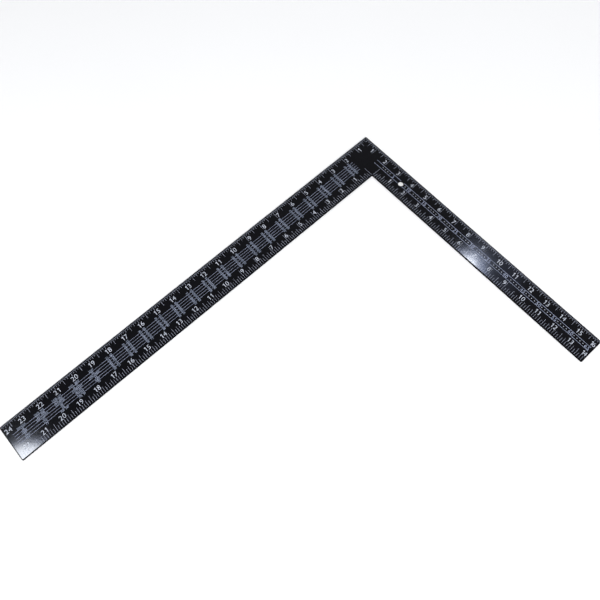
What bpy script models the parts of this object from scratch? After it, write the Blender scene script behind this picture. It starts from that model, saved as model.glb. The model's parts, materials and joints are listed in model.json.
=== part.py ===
"""Steel framing square: a long body and a shorter tongue at a right angle, stamped in one piece.

Metres, +Z up. The graduated front face is up, the body runs along +X and the tongue along +Y,
both away from the outer corner, which is called the heel. The origin is the middle of the
square's bounding rectangle, on its underside.
"""

import math

import bmesh
import bpy
from mathutils import Vector

INCH = 0.0254

# The steel blank.
BODY_LENGTH = 24.0 * INCH
BODY_WIDTH = 2.0 * INCH
TONGUE_LENGTH = 16.0 * INCH
TONGUE_WIDTH = 1.5 * INCH
THICKNESS = 0.0022
END_CORNER_RADIUS = 0.0012
HEEL_RADIUS = 0.0006
EDGE_BREAK = 0.00025
CORNER_SEGMENTS = 6

# The hanging hole, in the middle of the tongue.
HOLE_DIAMETER = 0.0075
HOLE_FROM_OUTER_EDGE = TONGUE_WIDTH / 2
HOLE_FROM_HEEL = 3.41 * INCH
HOLE_SEGMENTS = 64

# White enamel lines, printed on the front face. A film this thin is given a small gap to the steel.
INK_GAP = 0.00002
INK_THICKNESS = 0.00005
TABLE_RULE_WIDTH = 0.00030
TRACK_RULE_WIDTH = 0.00042

# The rafter table on the body: its rules are one row of figures apart.
TABLE_RULES = 5
TABLE_PITCH = 0.1403 * INCH
TABLE_FIRST_RULE = 0.706 * INCH
TABLE_START = 1.71 * INCH
TABLE_END = 23.70 * INCH

# The octagon scale on the tongue runs between two rules, and the hole breaks both.
TRACK_RULES = {"outer": 0.612 * INCH, "inner": 0.848 * INCH}
TRACK_START = 1.50 * INCH
TRACK_END = 15.85 * INCH
HOLE_MARGIN = 0.0008

HEEL = Vector((-BODY_LENGTH / 2, -TONGUE_LENGTH / 2, 0.0))


def clear_scene():
    for item in list(bpy.data.objects):
        bpy.data.objects.remove(item, do_unlink=True)


def principled(name, color, roughness, metallic=0.0):
    """A plain material for one sub-part."""
    material = bpy.data.materials.new(name)
    material.use_nodes = True
    shader = material.node_tree.nodes["Principled BSDF"]
    shader.inputs["Base Color"].default_value = (*color, 1.0)
    shader.inputs["Roughness"].default_value = roughness
    shader.inputs["Metallic"].default_value = metallic
    material.diffuse_color = (*color, 1.0)
    return material


def new_object(name, bm, material):
    """Turns a bmesh into a named object, faces out."""
    bmesh.ops.recalc_face_normals(bm, faces=bm.faces)
    mesh = bpy.data.meshes.new(name)
    bm.to_mesh(mesh)
    bm.free()
    mesh.materials.append(material)
    item = bpy.data.objects.new(name, mesh)
    bpy.context.scene.collection.objects.link(item)
    return item


def rounded_corner(corner, before, after, radius):
    """Points of an arc that rounds a convex corner, from the side of before to the side of after."""
    if radius <= 0.0:
        return [corner]
    back = (before - corner).normalized()
    ahead = (after - corner).normalized()
    centre = corner + (back + ahead) * radius
    points = []
    for step in range(CORNER_SEGMENTS + 1):
        turn = 0.5 * math.pi * step / CORNER_SEGMENTS
        points.append(centre - ahead * radius * math.cos(turn) - back * radius * math.sin(turn))
    return points


def blank_outline():
    """The L seen from above, anticlockwise from the heel, as (corner, radius) pairs made into points."""
    corners = [
        (Vector((0.0, 0.0)), HEEL_RADIUS),
        (Vector((BODY_LENGTH, 0.0)), END_CORNER_RADIUS),
        (Vector((BODY_LENGTH, BODY_WIDTH)), END_CORNER_RADIUS),
        (Vector((TONGUE_WIDTH, BODY_WIDTH)), 0.0),
        (Vector((TONGUE_WIDTH, TONGUE_LENGTH)), END_CORNER_RADIUS),
        (Vector((0.0, TONGUE_LENGTH)), END_CORNER_RADIUS),
    ]
    points = []
    for index, (corner, radius) in enumerate(corners):
        before = corners[index - 1][0]
        after = corners[(index + 1) % len(corners)][0]
        points += rounded_corner(corner, before, after, radius)
    return points


def prism(outline, low, high):
    """A closed bmesh: a flat outline, in heel coordinates, extruded from low to high."""
    bm = bmesh.new()
    base = [bm.verts.new((HEEL.x + p.x, HEEL.y + p.y, low)) for p in outline]
    face = bm.faces.new(base)
    grown = bmesh.ops.extrude_face_region(bm, geom=[face])
    raised = [v for v in grown["geom"] if isinstance(v, bmesh.types.BMVert)]
    bmesh.ops.translate(bm, verts=raised, vec=(0.0, 0.0, high - low))
    return bm


def circle(centre, radius, segments):
    """Points round a circle, anticlockwise."""
    turns = [2.0 * math.pi * step / segments for step in range(segments)]
    return [centre + Vector((math.cos(t), math.sin(t))) * radius for t in turns]


def hole_centre():
    return Vector((HOLE_FROM_OUTER_EDGE, HOLE_FROM_HEEL))


def hole_cutter():
    """The punch that makes the hanging hole."""
    outline = circle(hole_centre(), HOLE_DIAMETER / 2, HOLE_SEGMENTS)
    cutter = new_object(
        "hole_punch",
        prism(outline, -THICKNESS, 2 * THICKNESS),
        principled("punch", (0.5, 0.5, 0.5), 0.5),
    )
    cutter.hide_render = True
    cutter.display_type = "WIRE"
    return cutter


def make_blank():
    """The one-piece L of black enamelled steel, its hole punched and all its edges just broken."""
    enamel = principled("black_enamel", (0.006, 0.006, 0.008), 0.22)
    blank = new_object("steel_square", prism(blank_outline(), 0.0, THICKNESS), enamel)

    punch = blank.modifiers.new("hanging_hole", "BOOLEAN")
    punch.operation = "DIFFERENCE"
    punch.solver = "EXACT"
    punch.object = hole_cutter()

    broken = blank.modifiers.new("broken_edges", "BEVEL")
    broken.width = EDGE_BREAK
    broken.segments = 2
    broken.limit_method = "ANGLE"
    broken.angle_limit = math.radians(60.0)
    return blank


def ink_bar(name, low, high, material):
    """A straight bar of enamel between two opposite corners, in heel coordinates."""
    corners = [low, Vector((high.x, low.y)), high, Vector((low.x, high.y))]
    base = THICKNESS + INK_GAP
    return new_object(name, prism(corners, base, base + INK_THICKNESS), material)


def make_table_rules(ink):
    """The long rules between the rows of the rafter table, the one nearest the outer edge first."""
    for row in range(TABLE_RULES):
        y = TABLE_FIRST_RULE + row * TABLE_PITCH
        ink_bar(
            f"rafter_table_rule_{row + 1}",
            Vector((TABLE_START, y - TABLE_RULE_WIDTH / 2)),
            Vector((TABLE_END, y + TABLE_RULE_WIDTH / 2)),
            ink,
        )


def make_track_rules(ink):
    """The two rules along the octagon scale, each in a short and a long run, either side of the hole."""
    for side, x in TRACK_RULES.items():
        reach = HOLE_DIAMETER / 2 + HOLE_MARGIN
        offset = abs(x - HOLE_FROM_OUTER_EDGE)
        half_gap = math.sqrt(max(reach**2 - offset**2, 0.0))
        runs = {
            "near_heel": (TRACK_START, HOLE_FROM_HEEL - half_gap),
            "past_hole": (HOLE_FROM_HEEL + half_gap, TRACK_END),
        }
        for run, (start, end) in runs.items():
            ink_bar(
                f"octagon_rule_{side}_{run}",
                Vector((x - TRACK_RULE_WIDTH / 2, start)),
                Vector((x + TRACK_RULE_WIDTH / 2, end)),
                ink,
            )


def main():
    clear_scene()
    make_blank()
    ink = principled("white_ink", (0.62, 0.62, 0.66), 0.45)
    make_table_rules(ink)
    make_track_rules(ink)


main()
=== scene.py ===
"""The looks of the steel framing square: its enamel, its printed marks, and a plain studio.

Places on the square are given in inches: along an arm, from the heel, and across it, from its
outer edge. Materials and the studio are in metres.
"""

import json
import math

import bpy
from mathutils import Matrix, Vector


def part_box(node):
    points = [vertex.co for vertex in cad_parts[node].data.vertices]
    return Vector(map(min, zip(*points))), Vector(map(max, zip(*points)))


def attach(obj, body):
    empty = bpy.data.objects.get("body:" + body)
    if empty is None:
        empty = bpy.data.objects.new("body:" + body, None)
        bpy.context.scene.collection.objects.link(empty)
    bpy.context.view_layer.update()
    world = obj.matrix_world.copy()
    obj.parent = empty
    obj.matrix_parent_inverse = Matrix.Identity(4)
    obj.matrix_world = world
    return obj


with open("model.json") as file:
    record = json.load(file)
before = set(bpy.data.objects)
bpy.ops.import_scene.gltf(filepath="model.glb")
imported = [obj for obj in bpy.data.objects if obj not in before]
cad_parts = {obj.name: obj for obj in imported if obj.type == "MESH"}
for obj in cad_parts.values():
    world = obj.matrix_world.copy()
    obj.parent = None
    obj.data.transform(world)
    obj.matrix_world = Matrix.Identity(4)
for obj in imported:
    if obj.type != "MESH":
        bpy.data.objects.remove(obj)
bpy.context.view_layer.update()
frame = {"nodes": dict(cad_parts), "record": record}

INCH = 0.0254
FOOT = 12

# The square's box, in metres, and the sizes of its arms, in inches, from the frame.
LOW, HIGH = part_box("steel_square")
MOUNTS = {mount["name"]: Vector(mount["pos_m"]) for mount in frame["record"]["mounts"]}
BODY_LENGTH = (HIGH.x - LOW.x) / INCH
BODY_WIDTH = (MOUNTS["body_inner_edge"].y - LOW.y) / INCH
TONGUE_LENGTH = (HIGH.y - LOW.y) / INCH
TONGUE_WIDTH = (MOUNTS["tongue_inner_edge"].x - LOW.x) / INCH


def middle_of(box):
    """The middle of a box of two corners in metres, in inches from the heel."""
    low, high = (Vector(corner) for corner in box)
    return ((low + high) / 2 - LOW) / INCH


OPENINGS = {
    opening["name"]: opening["box_m"] for opening in frame["record"]["physics"]["openings"]
}
HOLE = middle_of(OPENINGS["hanging_hole"])

# The film of ink, in metres: how far it stands proud of the steel, and how deep it keys into it.
INK_RISE = 0.00003
INK_ROOT = 0.00001

# Ticks start a margin away from the edge. Each set says how far from the edge the ticks of each
# part of an inch reach, the coarsest part first. Those nearer to the heel than the crowded corner
# are left out.
TICK_WIDTH = 0.011
TICK_MARGIN = 0.050
OUTER_TICKS = ((1, 0.27), (2, 0.36), (4, 0.23), (8, 0.18), (16, 0.115))
INNER_TICKS = ((1, 0.28), (2, 0.43), (4, 0.35), (8, 0.27))
TWELFTH_TICKS = ((1, 0.27), (2, 0.34), (4, 0.24), (12, 0.14))
SIXTEENTH_TICKS = ((1, 0.28), (2, 0.38), (4, 0.30), (8, 0.22), (16, 0.15))
TENTH_TICKS = ((1, 0.28), (2, 0.36), (10, 0.20))
OUTER_LONG_TICK = 0.50
INNER_LONG_TICK = 0.58
CROWDED_CORNER = 0.10

# Scale numerals. One figure stands on the heel side of its tick, and two stand over it. The last
# numeral is set in from the arm's end, which it would cross.
FIRST_OF_TWO_FIGURES = 10
NUMERAL_HEIGHT = 0.24
NUMERAL_ADVANCE = 0.185
ONE_FIGURE_SHIFT = -0.13
TWO_FIGURE_SHIFT = -0.02
BODY_LAST_NUMERAL = {"inset": 0.26, "advance": 0.185}
TONGUE_LAST_NUMERAL = {"inset": 0.205, "advance": 0.125}
LENGTH_TOLERANCE = 0.01
OUTER_NUMERAL_DEPTH = 0.392
INNER_NUMERAL_DEPTH = 0.433

# Rafter table: its rows lie between the long rules of the frame, and one beyond each side. An
# entry's whole part and hundredths stand this far past the inch. The wide entries give, for each
# row, how many figures stand in each group.
RULE_NUMBERS = range(1, 6)
TABLE_RULES = [middle_of(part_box(f"rafter_table_rule_{number}")).y for number in RULE_NUMBERS]
TABLE_PITCH = (TABLE_RULES[-1] - TABLE_RULES[0]) / (len(TABLE_RULES) - 1)
TABLE_FIRST_ROW = TABLE_RULES[0] - TABLE_PITCH / 2
TABLE_RISES = range(2, 19)
TABLE_FIGURE_HEIGHT = 0.105
TABLE_FIGURE_ADVANCE = 0.066
WHOLE_PART = 0.245
FRACTION_PART = -0.005
WIDE_ENTRIES = {
    19: ((4,), (2,), (9,), (2,), (4,), (2,)),
    20: ((4, 4), (2, 2), (9,), (6,), (6,), (3, 2)),
    21: ((4, 3), (3, 3), (8,), (2,), (2,), (3, 3)),
    22: ((4, 3), (3, 3), (10,), (2,), (3,), (2,)),
    23: ((7,), (2,), (4,), (2,), (4,), (2,)),
}
WIDE_ENTRY_CENTRE = 0.19
WIDE_ENTRY_DECIMALS = 12
JACK_SPACINGS = (16, 24)

# Octagon scale: a figure in place of every fifth dot, closer together on the last stretch. Dots
# this near to the middle of the hole are left out.
TRACK_SIDES = [
    middle_of(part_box(f"octagon_rule_{side}_past_hole")).x for side in ("outer", "inner")
]
OCTAGON_ACROSS = sum(TRACK_SIDES) / 2
OCTAGON_FIRST = 2.83
OCTAGON_PITCH = 1.117
OCTAGON_CLOSE_PITCH = 0.985
OCTAGON_WIDE_STEPS = 8
OCTAGON_FIGURES = 13
OCTAGON_COUNT = 5
OCTAGON_HEIGHT = 0.175
OCTAGON_ADVANCE = 0.15
DOT_RADIUS = 0.023
DOT_SIDES = 10
DOT_PITCH = 0.173
FIRST_DOT = 0.25
HOLE_CLEARANCE = 0.25

# Board measure, on the body's back: surface in square feet and twelfths, for boards of these
# lengths in feet and widths in inches.
BOARD_LENGTHS = (8, 9, 10, 11, 13, 14, 15)
BOARD_WIDTHS = range(2, 24)
BOARD_FIRST_ROW = 0.63
BOARD_PITCH = 0.118
BOARD_HEIGHT = 0.082
BOARD_ADVANCE = 0.056
BOARD_WHOLE = -0.09
BOARD_TWELFTHS = 0.09
BOARD_RULE_START = 0.2
BOARD_RULE_END = 0.3
RULE_WIDTH = 0.011

# Brace measure, on the tongue's back: two equal runs, and the brace that joins them, which is
# written larger. The first entry ends just before the hole. Each run stands a share of its height
# away from the middle, and the brace's two parts this far past the runs.
BRACE_RUNS = range(24, 61, 3)
BRACE_FIRST = HOLE.y - 0.27
BRACE_PITCH = 1.0
BRACE_ACROSS = 0.74
BRACE_HEIGHT = 0.105
BRACE_ADVANCE = 0.078
BRACE_ENLARGED = 1.2
BRACE_SPLIT = 0.62
BRACE_WHOLE = 0.24
BRACE_HUNDREDTHS = 0.46


class Face:
    """One face of one arm. Its figures have their tops towards the arm's outer edge."""

    def __init__(self, along, across, normal, level):
        up = -across
        reading = up.cross(normal)
        self.sense = round(reading.dot(along))
        self.matrix = Matrix((reading, up, normal)).transposed().to_4x4()
        self.matrix.translation = Vector((LOW.x, LOW.y, level))


X, Y, Z = Vector((1, 0, 0)), Vector((0, 1, 0)), Vector((0, 0, 1))
BODY_FRONT = Face(X, Y, Z, HIGH.z)
TONGUE_FRONT = Face(Y, X, Z, HIGH.z)
BODY_BACK = Face(X, Y, -Z, LOW.z)
TONGUE_BACK = Face(Y, X, -Z, LOW.z)


def drawn_one():
    """The figure 1: a stem with a flag, one unit high."""
    stem = [(0.25, 0.0), (0.39, 0.0), (0.39, 1.0), (0.28, 1.0)]
    flag = [(0.06, 0.83), (0.06, 0.69), (0.25, 0.80)]
    return stem + flag, [tuple(range(len(stem + flag)))]


def font_figure(figure, resolution, weight):
    """A figure of the built-in font as flat points and faces, one unit high."""
    curve = bpy.data.curves.new("figure", "FONT")
    curve.body = figure
    curve.resolution_u = resolution
    curve.offset = weight
    text = bpy.data.objects.new("figure", curve)
    mesh = bpy.data.meshes.new_from_object(text)
    height = max(vertex.co.y for vertex in mesh.vertices)
    points = [(vertex.co.x / height, vertex.co.y / height) for vertex in mesh.vertices]
    faces = [tuple(face.vertices) for face in mesh.polygons]
    bpy.data.objects.remove(text)
    bpy.data.curves.remove(curve)
    bpy.data.meshes.remove(mesh)
    return points, faces


def centred(points, faces):
    """Moves a shape so that the middle of its box is the origin."""
    xs = [x for x, _ in points]
    ys = [y for _, y in points]
    cx, cy = (min(xs) + max(xs)) / 2, (min(ys) + max(ys)) / 2
    return [(x - cx, y - cy) for x, y in points], faces


def figure_set(resolution, weight):
    """All ten figures, centred."""
    figures = {name: font_figure(name, resolution, weight) for name in "023456789"}
    figures["1"] = drawn_one()
    return {name: centred(*shape) for name, shape in figures.items()}


LARGE = figure_set(resolution=6, weight=-0.004)
SMALL = figure_set(resolution=2, weight=0.0)


def rim(faces):
    """The directed edges that only one face has."""
    edges = {(a, b) for face in faces for a, b in zip(face, face[1:] + face[:1])}
    return sorted(edge for edge in edges if edge[::-1] not in edges)


class Print:
    """Marks of ink on one face of one arm, gathered into one mesh of closed flat prisms."""

    def __init__(self, face):
        self.face = face
        self.vertices = []
        self.faces = []

    def add(self, points, faces, along, across, scale=1.0):
        """Adds a flat shape, in its own reading and upward directions, at a place on the arm."""
        first, count = len(self.vertices), len(points)
        x0, y0 = self.face.sense * along, -across
        for level in (-INK_ROOT, INK_RISE):
            for x, y in points:
                place = Vector(((x0 + x * scale) * INCH, (y0 + y * scale) * INCH, level))
                self.vertices.append(self.face.matrix @ place)
        for face in faces:
            self.faces.append([first + count + i for i in face])
            self.faces.append([first + i for i in reversed(face)])
        for a, b in rim(faces):
            self.faces.append([first + a, first + b, first + count + b, first + count + a])

    def bar(self, along, across, length, width):
        """A bar across the arm, from its middle."""
        w, h = width / 2, length / 2
        self.add([(-w, -h), (w, -h), (w, h), (-w, h)], [(0, 1, 2, 3)], along, across)

    def rule(self, start, end, across):
        """A line along the arm."""
        self.bar((start + end) / 2, across, RULE_WIDTH, end - start)

    def dot(self, along, across, radius):
        """A round mark, from its middle."""
        turns = [2 * math.pi * i / DOT_SIDES for i in range(DOT_SIDES)]
        points = [(radius * math.cos(t), radius * math.sin(t)) for t in turns]
        self.add(points, [tuple(range(DOT_SIDES))], along, across)

    def figures(self, text, along, across, height, advance, shapes=LARGE):
        """A number, centred on a place. A space in it stays empty."""
        for i, name in enumerate(text):
            step = (i - (len(text) - 1) / 2) * advance * self.face.sense
            if name != " ":
                self.add(*shapes[name], along + step, across, height)

    def piece(self, name, material):
        """Makes the marks into one named piece that rides on the square."""
        mesh = bpy.data.meshes.new(name)
        mesh.from_pydata(self.vertices, [], self.faces)
        mesh.update()
        mesh.materials.append(material)
        made = bpy.data.objects.new(name, mesh)
        bpy.context.scene.collection.objects.link(made)
        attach(made, "root")


class Scale:
    """One graduated edge: an outer one counts from the heel, an inner one from the other arm."""

    def __init__(self, face, length, last, zero=0.0, width=None):
        self.face = face
        self.last = last
        self.zero = zero
        self.inches = length - zero
        self.edge = width or 0.0
        self.inward = -1.0 if width else 1.0

    def across(self, depth):
        """A distance in from the graduated edge, as a place across the arm."""
        return self.edge + self.inward * depth

    def ticks(self, kinds, long_tick):
        """All the ticks. Those of the inches with one figure are long, to stand beside it.

        Near the heel, an outer tick stops short of the other arm's tick at the same distance.
        """
        ink = Print(self.face)
        parts = kinds[-1][0]
        first = 0 if self.zero else 1
        for step in range(first, round(self.inches * parts)):
            reach = next(depth for level, depth in kinds if step * level % parts == 0)
            if step % parts == 0 and step // parts < FIRST_OF_TWO_FIGURES:
                reach = long_tick
            place = self.zero + step / parts
            if not self.zero:
                reach = min(reach, place - TICK_WIDTH)
            if place > CROWDED_CORNER:
                middle = self.across((TICK_MARGIN + reach) / 2)
                ink.bar(place, middle, reach - TICK_MARGIN, TICK_WIDTH)
        return ink

    def numerals(self, depth):
        """The number of every inch that the scale reaches."""
        ink = Print(self.face)
        limit = self.zero + self.inches - self.last["inset"]
        for number in range(1, math.floor(self.inches + LENGTH_TOLERANCE) + 1):
            shift = ONE_FIGURE_SHIFT if number < FIRST_OF_TWO_FIGURES else TWO_FIGURE_SHIFT
            place, advance = self.zero + number + shift, NUMERAL_ADVANCE
            if place > limit:
                place, advance = limit, self.last["advance"]
            ink.figures(str(number), place, self.across(depth), NUMERAL_HEIGHT, advance)
        return ink


def rafter_values(rise):
    """The six rows of a rafter table for one rise per foot of run, as decimal numbers.

    Common rafter, hip rafter, jack rafters of two spacings, and the side cuts of jacks and hips.
    """
    common = math.hypot(FOOT, rise)
    hip_run = FOOT * math.sqrt(2.0)
    hip = math.hypot(hip_run, rise)
    jacks = [common * spacing / FOOT for spacing in JACK_SPACINGS]
    return (common, hip, *jacks, FOOT * FOOT / common, FOOT * hip_run / hip)


def in_groups(digits, counts):
    """The first digits of a row, in groups of these sizes with a space between."""
    starts = [sum(counts[:i]) for i in range(len(counts))]
    return " ".join(digits[start:start + count] for start, count in zip(starts, counts))


def rafter_figures():
    """Whole parts and hundredths in two columns under each inch, and wide entries at the end."""
    ink = Print(BODY_FRONT)
    size = (TABLE_FIGURE_HEIGHT, TABLE_FIGURE_ADVANCE, SMALL)
    for rise in TABLE_RISES:
        for row, value in enumerate(rafter_values(rise)):
            whole, hundredths = divmod(round(value * 100), 100)
            across = TABLE_FIRST_ROW + row * TABLE_PITCH
            ink.figures(f"{whole:02d}", rise + WHOLE_PART, across, *size)
            ink.figures(f"{hundredths:02d}", rise + FRACTION_PART, across, *size)
    for rise, rows in WIDE_ENTRIES.items():
        for row, counts in enumerate(rows):
            value = f"{rafter_values(rise)[row]:.{WIDE_ENTRY_DECIMALS}f}"
            text = in_groups(value.replace(".", ""), counts)
            across = TABLE_FIRST_ROW + row * TABLE_PITCH
            ink.figures(text, rise + WIDE_ENTRY_CENTRE, across, *size)
    return ink


def octagon_place(index):
    """Where a figure of the octagon scale stands along the tongue."""
    wide = min(index, OCTAGON_WIDE_STEPS)
    return OCTAGON_FIRST + wide * OCTAGON_PITCH + (index - wide) * OCTAGON_CLOSE_PITCH


def octagon_marks():
    """The figures, and four dots before each, without those that the hanging hole takes away."""
    figures, dots = Print(TONGUE_FRONT), Print(TONGUE_FRONT)
    for index in range(OCTAGON_FIGURES):
        place = octagon_place(index)
        text = str(OCTAGON_COUNT * (index + 1))
        figures.figures(text, place, OCTAGON_ACROSS, OCTAGON_HEIGHT, OCTAGON_ADVANCE)
        for step in range(OCTAGON_COUNT - 1):
            along = place - FIRST_DOT - step * DOT_PITCH
            if math.hypot(along - HOLE.y, OCTAGON_ACROSS - HOLE.x) > HOLE_CLEARANCE:
                dots.dot(along, OCTAGON_ACROSS, DOT_RADIUS)
    return figures, dots


def board_measure():
    """Square feet and twelfths under each inch of width, and the lengths themselves under 12."""
    figures, rules = Print(BODY_BACK), Print(BODY_BACK)
    size = (BOARD_HEIGHT, BOARD_ADVANCE, SMALL)
    for row, length in enumerate(BOARD_LENGTHS):
        across = BOARD_FIRST_ROW + row * BOARD_PITCH
        for width in BOARD_WIDTHS:
            feet, twelfths = divmod(width * length, FOOT)
            figures.figures(str(feet), width + BOARD_WHOLE, across, *size)
            if width != FOOT:
                figures.figures(str(twelfths), width + BOARD_TWELFTHS, across, *size)
    start, end = TONGUE_WIDTH + BOARD_RULE_START, BODY_LENGTH - BOARD_RULE_END
    for line in range(len(BOARD_LENGTHS) + 1):
        rules.rule(start, end, BOARD_FIRST_ROW + (line - 0.5) * BOARD_PITCH)
    return figures, rules


def brace_measure():
    """Each entry is two runs, one over the other, and then the brace in inches and hundredths."""
    ink = Print(TONGUE_BACK)
    run_size = (BRACE_HEIGHT, BRACE_ADVANCE, SMALL)
    brace_size = (BRACE_ENLARGED * BRACE_HEIGHT, BRACE_ENLARGED * BRACE_ADVANCE, SMALL)
    for index, run in enumerate(BRACE_RUNS):
        along = BRACE_FIRST + index * BRACE_PITCH
        whole, hundredths = divmod(round(run * math.sqrt(2.0) * 100), 100)
        for side in (-1, 1):
            across = BRACE_ACROSS + side * BRACE_SPLIT * BRACE_HEIGHT
            ink.figures(str(run), along, across, *run_size)
        for number, offset in ((whole, BRACE_WHOLE), (hundredths, BRACE_HUNDREDTHS)):
            place = along + offset * TONGUE_BACK.sense
            ink.figures(f"{number:02d}", place, BRACE_ACROSS, *brace_size)
    return ink


class Nodes:
    """A short way to build a node tree. Values that are sockets are linked, and others are set."""

    def __init__(self, owner):
        owner.use_nodes = True
        self.tree = owner.node_tree
        self.tree.nodes.clear()

    def add(self, kind, settings=None, **inputs):
        node = self.tree.nodes.new(kind)
        for name, value in (settings or {}).items():
            setattr(node, name, value)
        for name, value in inputs.items():
            self.feed(node.inputs[name.replace("_", " ")], value)
        return node

    def feed(self, socket, value):
        if isinstance(value, bpy.types.NodeSocket):
            self.tree.links.new(value, socket)
        else:
            socket.default_value = value

    def math(self, operation, *values):
        node = self.add("ShaderNodeMath", {"operation": operation})
        for socket, value in zip(node.inputs, values):
            self.feed(socket, value)
        return node.outputs[0]

    def less(self, first, second):
        return self.math("SUBTRACT", first, second)

    def smaller(self, first, second):
        return self.math("MINIMUM", first, second)

    def larger(self, first, second):
        return self.math("MAXIMUM", first, second)

    def noise(self, vector, scale, detail=2.0, roughness=0.5):
        settings = {"Vector": vector, "Scale": scale, "Detail": detail, "Roughness": roughness}
        return self.add("ShaderNodeTexNoise", **settings).outputs["Fac"]

    def stretched_noise(self, vector, scales):
        """Noise with a scale of its own along each axis."""
        place = self.add("ShaderNodeMapping", Vector=vector, Scale=scales).outputs[0]
        return self.noise(place, 1.0)

    def between(self, value, low, high, to_low=0.0, to_high=1.0):
        """Maps a stretch of a value onto another, held at both ends."""
        node = self.add("ShaderNodeMapRange")
        for socket, number in zip(node.inputs, (value, low, high, to_low, to_high)):
            self.feed(socket, number)
        return node.outputs[0]

    def blend(self, factor, first, second):
        """The first colour at 0, the second at 1."""
        node = self.add("ShaderNodeMix", {"data_type": "RGBA"})
        self.feed(node.inputs[0], factor)
        self.feed(node.inputs[6], first)
        self.feed(node.inputs[7], second)
        return node.outputs[2]

    def bump(self, height, strength, distance, normal=None):
        node = self.add("ShaderNodeBump", Height=height, Strength=strength, Distance=distance)
        if normal is not None:
            self.feed(node.inputs["Normal"], normal)
        return node.outputs["Normal"]

    def surface(self, **inputs):
        shader = self.add("ShaderNodeBsdfPrincipled", **inputs)
        out = self.add("ShaderNodeOutputMaterial")
        self.tree.links.new(shader.outputs[0], out.inputs["Surface"])


def edge_distance(nodes, place):
    """How far a point is from the nearest edge of the L, in metres."""
    parts = nodes.add("ShaderNodeSeparateXYZ", Vector=place)
    x, y = parts.outputs["X"], parts.outputs["Y"]
    outer = nodes.smaller(nodes.less(x, LOW.x), nodes.less(y, LOW.y))
    ends = nodes.smaller(nodes.less(HIGH.x, x), nodes.less(HIGH.y, y))
    in_x, in_y = LOW.x + TONGUE_WIDTH * INCH, LOW.y + BODY_WIDTH * INCH
    tongue_side = nodes.larger(nodes.math("ABSOLUTE", nodes.less(x, in_x)), nodes.less(in_y, y))
    body_side = nodes.larger(nodes.math("ABSOLUTE", nodes.less(y, in_y)), nodes.less(in_x, x))
    inner = nodes.smaller(tongue_side, body_side)
    return nodes.smaller(nodes.smaller(outer, ends), inner)


# How much a surface faces up or down where it is a fully dull side and where it is no side any
# more, and how far from an edge the dull band on the faces is full and ends.
SIDE_TILT = (0.90, 0.97)
DULL_BAND = (0.0006, 0.0011)


def dull_edge(nodes, edge):
    """1 on the sheared sides, their broken corners and a thin band of each face, 0 elsewhere."""
    normal = nodes.add("ShaderNodeTexCoord").outputs["Normal"]
    tilt = nodes.math("ABSOLUTE", nodes.add("ShaderNodeSeparateXYZ", Vector=normal).outputs["Z"])
    side = nodes.between(tilt, *SIDE_TILT, 1.0, 0.0)
    return nodes.larger(side, nodes.between(edge, *DULL_BAND, 1.0, 0.0))


# Colours: the enamel where it is deepest and palest, specks of dust, and rubbed corners.
ENAMEL_DEEP = (0.0014, 0.0015, 0.0024, 1.0)
ENAMEL_PALE = (0.0030, 0.0031, 0.0044, 1.0)
DUST_COLOR = (0.10, 0.10, 0.11, 1.0)
DUST_COVER = 0.35
RUBBED_COLOR = (0.08, 0.08, 0.09, 1.0)
RUBBED_COVER = 0.5

# Noise: scale, detail and roughness, or a scale for each axis, and the values between which a
# pattern goes from none to full.
CLOUD_NOISE, CLOUD_LIMITS = (18.0, 3.0), (0.25, 0.75)
DUST_NOISE, DUST_LIMITS = (2600.0, 1.0), (0.74, 0.80)
DRAG_SCALES, DRAG_LIMITS = (60.0, 1500.0, 60.0), (0.62, 0.72)
RUB_NOISE, RUB_LIMITS = (160.0, 4.0, 0.65), (0.58, 0.80)
SHEAR_SCALES = (1400.0, 1400.0, 120.0)
PEEL_NOISE = (420.0, 2.0)

# How far rubbing reaches in from an edge, and over what distance it fades.
RUB_REACH = 0.0006
RUB_FADE = 0.0002

# Roughness of the enamel, and what each kind of wear adds. Shine is the specular level.
ENAMEL_ROUGHNESS = (0.07, 0.09)
DRAG_ROUGHNESS = 0.03
RUBBED_ROUGHNESS = 0.20
SIDE_ROUGHNESS = 0.40
FACE_SHINE = 0.5
SIDE_SHINE = 0.04

# Bumps: strength and height in metres.
PEEL_BUMP = (0.03, 0.0002)
DRAG_BUMP = (0.03, 0.00005)
SHEAR_BUMP = (0.5, 0.0001)


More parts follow.
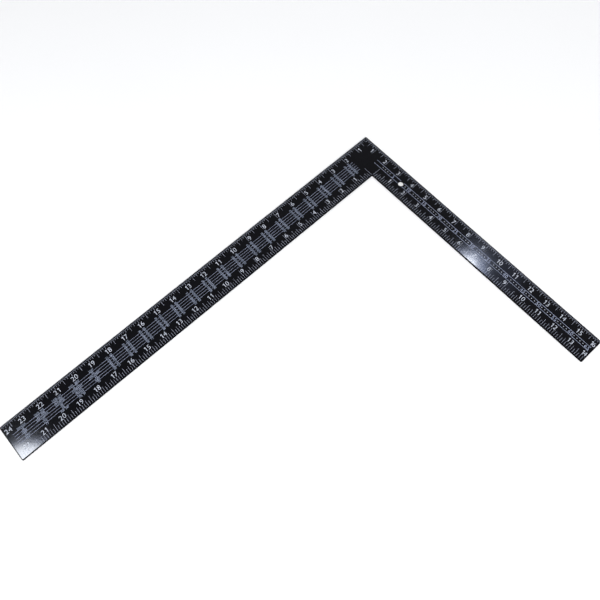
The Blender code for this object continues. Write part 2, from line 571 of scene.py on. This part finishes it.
def black_enamel():
    """Glossy black stoving enamel: orange peel, drag marks, dust, dull sides and rubbed corners."""
    material = bpy.data.materials.new("black_enamel")
    nodes = Nodes(material)
    place = nodes.add("ShaderNodeTexCoord").outputs["Object"]
    edge = edge_distance(nodes, place)
    side = dull_edge(nodes, edge)
    cloud = nodes.noise(place, *CLOUD_NOISE)
    dust = nodes.between(nodes.noise(place, *DUST_NOISE), *DUST_LIMITS)
    drag = nodes.between(nodes.stretched_noise(place, DRAG_SCALES), *DRAG_LIMITS)
    reach = nodes.between(nodes.noise(place, *RUB_NOISE), *RUB_LIMITS, 0.0, RUB_REACH)
    rubbed = nodes.between(nodes.less(reach, edge), 0.0, RUB_FADE)
    black = nodes.blend(cloud, ENAMEL_DEEP, ENAMEL_PALE)
    dusty = nodes.blend(nodes.math("MULTIPLY", dust, DUST_COVER), black, DUST_COLOR)
    color = nodes.blend(nodes.math("MULTIPLY", rubbed, RUBBED_COVER), dusty, RUBBED_COLOR)
    roughness = nodes.between(cloud, *CLOUD_LIMITS, *ENAMEL_ROUGHNESS)
    wear = ((drag, DRAG_ROUGHNESS), (rubbed, RUBBED_ROUGHNESS), (side, SIDE_ROUGHNESS))
    for where, rougher in wear:
        roughness = nodes.math("ADD", roughness, nodes.math("MULTIPLY", where, rougher))
    shine = nodes.between(side, 0.0, 1.0, FACE_SHINE, SIDE_SHINE)
    shear = nodes.math("MULTIPLY", nodes.stretched_noise(place, SHEAR_SCALES), side)
    peel = nodes.bump(nodes.noise(place, *PEEL_NOISE), *PEEL_BUMP)
    dragged = nodes.bump(drag, *DRAG_BUMP, peel)
    normal = nodes.bump(shear, *SHEAR_BUMP, dragged)
    nodes.surface(Base_Color=color, Roughness=roughness, Specular_IOR_Level=shine, Normal=normal)
    return material


PATCH_NOISE, PATCH_LIMITS = (240.0, 3.0), (0.35, 0.65)
SHEEN_NOISE, SHEEN_LIMITS = (900.0, 2.0), (0.3, 0.7)
INK_ROUGHNESS = (0.35, 0.55)
GRAIN_NOISE = (2200.0, 2.0)
GRAIN_BUMP = (0.25, 0.00003)


def printed_ink(name, thin, full):
    """White printing enamel, uneven between its colours where it is thin and where it is full."""
    material = bpy.data.materials.new(name)
    nodes = Nodes(material)
    place = nodes.add("ShaderNodeTexCoord").outputs["Object"]
    patches = nodes.between(nodes.noise(place, *PATCH_NOISE), *PATCH_LIMITS)
    color = nodes.blend(patches, (*thin, 1.0), (*full, 1.0))
    sheen = nodes.noise(place, *SHEEN_NOISE)
    roughness = nodes.between(sheen, *SHEEN_LIMITS, *INK_ROUGHNESS)
    normal = nodes.bump(nodes.noise(place, *GRAIN_NOISE), *GRAIN_BUMP)
    nodes.surface(Base_Color=color, Roughness=roughness, Normal=normal)
    return material


# One white ink, which covers better the broader the mark is.
ENAMEL = black_enamel()
NUMERAL_INK = printed_ink("numeral_ink", thin=(0.345, 0.375, 0.435), full=(0.52, 0.55, 0.63))
SCALE_INK = printed_ink("scale_ink", thin=(0.25, 0.27, 0.34), full=(0.41, 0.44, 0.54))
RULE_INK = printed_ink("rule_ink", thin=(0.21, 0.24, 0.33), full=(0.37, 0.41, 0.55))
TABLE_INK = printed_ink("table_ink", thin=(0.16, 0.19, 0.25), full=(0.29, 0.33, 0.43))


def finish_cad_nodes():
    """The steel and the long rules keep their CAD shapes and get the real materials."""
    for name, node in frame["nodes"].items():
        node.data.materials.clear()
        node.data.materials.append(ENAMEL if name == "steel_square" else RULE_INK)


def four_scales(body, tongue):
    """The outer and inner scales of both arms on one side of the square."""
    return {
        "body_outer": Scale(body, BODY_LENGTH, BODY_LAST_NUMERAL),
        "body_inner": Scale(body, BODY_LENGTH, BODY_LAST_NUMERAL, TONGUE_WIDTH, BODY_WIDTH),
        "tongue_outer": Scale(tongue, TONGUE_LENGTH, TONGUE_LAST_NUMERAL),
        "tongue_inner": Scale(tongue, TONGUE_LENGTH, TONGUE_LAST_NUMERAL, BODY_WIDTH, TONGUE_WIDTH),
    }


def print_scales(scales, kinds, prefix=""):
    """Makes each scale's ticks into one piece and its numerals into another."""
    for name, scale in scales.items():
        if name.endswith("outer"):
            long_tick, depth = OUTER_LONG_TICK, OUTER_NUMERAL_DEPTH
        else:
            long_tick, depth = INNER_LONG_TICK, INNER_NUMERAL_DEPTH
        scale.ticks(kinds[name], long_tick).piece(f"{prefix}{name}_ticks", SCALE_INK)
        scale.numerals(depth).piece(f"{prefix}{name}_numerals", NUMERAL_INK)


def print_front():
    kinds = {
        "body_outer": OUTER_TICKS,
        "body_inner": INNER_TICKS,
        "tongue_outer": OUTER_TICKS,
        "tongue_inner": INNER_TICKS,
    }
    print_scales(four_scales(BODY_FRONT, TONGUE_FRONT), kinds)
    rafter_figures().piece("rafter_table_figures", TABLE_INK)
    figures, dots = octagon_marks()
    figures.piece("octagon_figures", RULE_INK)
    dots.piece("octagon_dots", NUMERAL_INK)


def print_back():
    kinds = {
        "body_outer": TWELFTH_TICKS,
        "body_inner": SIXTEENTH_TICKS,
        "tongue_outer": TWELFTH_TICKS,
        "tongue_inner": TENTH_TICKS,
    }
    print_scales(four_scales(BODY_BACK, TONGUE_BACK), kinds, "back_")
    figures, rules = board_measure()
    figures.piece("back_board_figures", TABLE_INK)
    rules.piece("back_board_rules", TABLE_INK)
    brace_measure().piece("back_brace_figures", TABLE_INK)


# Camera, from the heel of the front face, in inches and degrees. Its lens is shifted, as if the
# frame were cut from a larger one.
CAMERA_PLACE = (16.654, 12.053, 26.823)
CAMERA_AZIMUTH = 141.875
CAMERA_ELEVATION = 70.017
CAMERA_ROLL = -3.788
CAMERA_LENS = 34.576
CAMERA_SHIFT = (0.04120, 0.02118)
CAMERA_CLIP = (0.01, 50.0)


def towards(azimuth, elevation):
    """The direction from the square to a viewer or a lamp."""
    a, e = math.radians(azimuth), math.radians(elevation)
    return Vector((math.sin(a) * math.cos(e), -math.cos(a) * math.cos(e), math.sin(e)))


def face_place(along_body, along_tongue, height=0.0):
    """A place from the heel of the front face, given in inches."""
    return Vector((LOW.x, LOW.y, HIGH.z)) + Vector((along_body, along_tongue, height)) * INCH


def make_camera():
    camera = bpy.data.objects.new("camera", bpy.data.cameras.new("camera"))
    bpy.context.scene.collection.objects.link(camera)
    back = towards(CAMERA_AZIMUTH, CAMERA_ELEVATION)
    upright = (-back).to_track_quat("-Z", "Y").to_matrix()
    turned = upright @ Matrix.Rotation(math.radians(CAMERA_ROLL), 3, "Z")
    camera.matrix_world = Matrix.Translation(face_place(*CAMERA_PLACE)) @ turned.to_4x4()
    camera.data.lens = CAMERA_LENS
    camera.data.shift_x, camera.data.shift_y = CAMERA_SHIFT
    camera.data.clip_start, camera.data.clip_end = CAMERA_CLIP
    bpy.context.scene.camera = camera
    return camera


WHITE = (1.0, 1.0, 1.0)
COOL = (0.93, 0.96, 1.0)
BLUE = (0.56, 0.67, 1.0)


def area_light(name, place, target, size, radiance, color=WHITE):
    """A soft round light facing its target. Its power is its radiance times pi and its area."""
    lamp = bpy.data.lights.new(name, "AREA")
    lamp.shape = "DISK"
    lamp.size = size
    lamp.color = color
    lamp.energy = radiance * math.pi * math.pi * size * size / 4
    light = bpy.data.objects.new(name, lamp)
    light.rotation_mode = "QUATERNION"
    light.location = place
    light.rotation_quaternion = (target - place).to_track_quat("-Z", "Y")
    light.visible_camera = False
    bpy.context.scene.collection.objects.link(light)
    return light


def mirrored_light(name, camera, patch, radius, radiance, color):
    """A lamp that the camera sees reflected in the front face, around a place on it."""
    at = face_place(*patch)
    ray = at - camera.location
    ray.z = -ray.z
    size = 2 * radius * INCH * (1.0 + MIRRORED_REACH)
    area_light(name, at + ray * MIRRORED_REACH, at, size, radiance, color)


FLOOR_SIZE = 4.6
FLOOR_GAP = 0.0001
FLOOR_SHADES = ((0.87, 0.87, 0.87, 1.0), (0.90, 0.90, 0.90, 1.0))
FLOOR_NOISE_SCALE = 3.0
FLOOR_ROUGHNESS = 0.8


def make_stage():
    """A plain pale floor, just under the square."""
    bpy.ops.mesh.primitive_plane_add(size=FLOOR_SIZE, location=(0.0, 0.0, LOW.z - FLOOR_GAP))
    floor = bpy.context.object
    floor.name = "floor"
    material = bpy.data.materials.new("floor")
    nodes = Nodes(material)
    place = nodes.add("ShaderNodeTexCoord").outputs["Object"]
    shade = nodes.blend(nodes.noise(place, FLOOR_NOISE_SCALE), *FLOOR_SHADES)
    nodes.surface(Base_Color=shade, Roughness=FLOOR_ROUGHNESS)
    floor.data.materials.append(material)


# The room's light. Each share goes from its first strength to its second as a direction's part
# along X, or its part upwards, goes from the first limit to the second.
ROOM_COLOR = (0.94, 0.96, 1.0, 1.0)
ALL_OVER = {"limits": (-0.45, 0.35), "strengths": (0.15, 0.06)}
LOWER_DOWN = {"limits": (0.05, 0.70), "strengths": (0.50, 0.0)}
HORIZON = {"limits": (0.02, 0.16), "strengths": (0.45, 0.0)}


def make_world():
    """A pale room: dark overhead, lighter lower down, and white at the horizon."""
    world = bpy.data.worlds.new("studio")
    bpy.context.scene.world = world
    nodes = Nodes(world)
    direction = nodes.add("ShaderNodeTexCoord").outputs["Generated"]
    parts = nodes.add("ShaderNodeSeparateXYZ", Vector=direction)
    glow = 0.0
    for axis, share in (("X", ALL_OVER), ("Z", LOWER_DOWN), ("Z", HORIZON)):
        part = nodes.between(parts.outputs[axis], *share["limits"], *share["strengths"])
        glow = nodes.math("ADD", glow, part)
    back = nodes.add("ShaderNodeBackground", Color=ROOM_COLOR, Strength=glow)
    out = nodes.add("ShaderNodeOutputWorld")
    nodes.tree.links.new(back.outputs[0], out.inputs["Surface"])


# A ring of soft boxes, low enough that the square doesn't mirror them towards the camera.
RING_LIGHTS = 8
RING_DISTANCE = 2.6
RING_ELEVATION = 31.0
RING_SIZE = 0.9
RING_RADIANCE = 2.5

# The key lamp stands on the camera's side, so that its shadows fall behind the edges that hide
# them. It isn't mirrored in the enamel.
KEY_AZIMUTH = 145.0
KEY_ELEVATION = 56.0
KEY_DISTANCE = 2.6
KEY_SIZE = 0.7
KEY_RADIANCE = 53.0

# Lamps mirrored in the front face, which make the patches of glare: the middle of the patch, in
# inches along the body and the tongue, its radius in inches, its radiance and its colour. Each lamp
# is this many times as far from the patch as the camera is.
MIRRORED_REACH = 2.0
MIRRORED_LAMPS = {
    "body_end_lamp": ((24.08, 2.56), 1.17, 24.5, COOL),
    "body_end_soft_lamp": ((24.0, 2.6), 1.45, 4.0, BLUE),
    "tongue_lamp": ((1.75, 8.98), 0.39, 42.0, COOL),
    "tongue_soft_lamp": ((1.9, 9.1), 0.96, 7.5, BLUE),
    "tongue_wide_lamp": ((0.9, 9.8), 1.7, 0.5, BLUE),
}


def make_lights(camera):
    for index in range(RING_LIGHTS):
        back = towards(360.0 * index / RING_LIGHTS, RING_ELEVATION)
        area_light(f"ring_{index + 1}", back * RING_DISTANCE, Vector(), RING_SIZE, RING_RADIANCE)
    key_place = towards(KEY_AZIMUTH, KEY_ELEVATION) * KEY_DISTANCE
    key = area_light("key", key_place, Vector(), KEY_SIZE, KEY_RADIANCE)
    key.visible_glossy = False
    for name, settings in MIRRORED_LAMPS.items():
        mirrored_light(name, camera, *settings)


finish_cad_nodes()
print_front()
print_back()
camera = make_camera()
make_stage()
make_world()
make_lights(camera)
bpy.context.scene.view_settings.view_transform = "Standard"
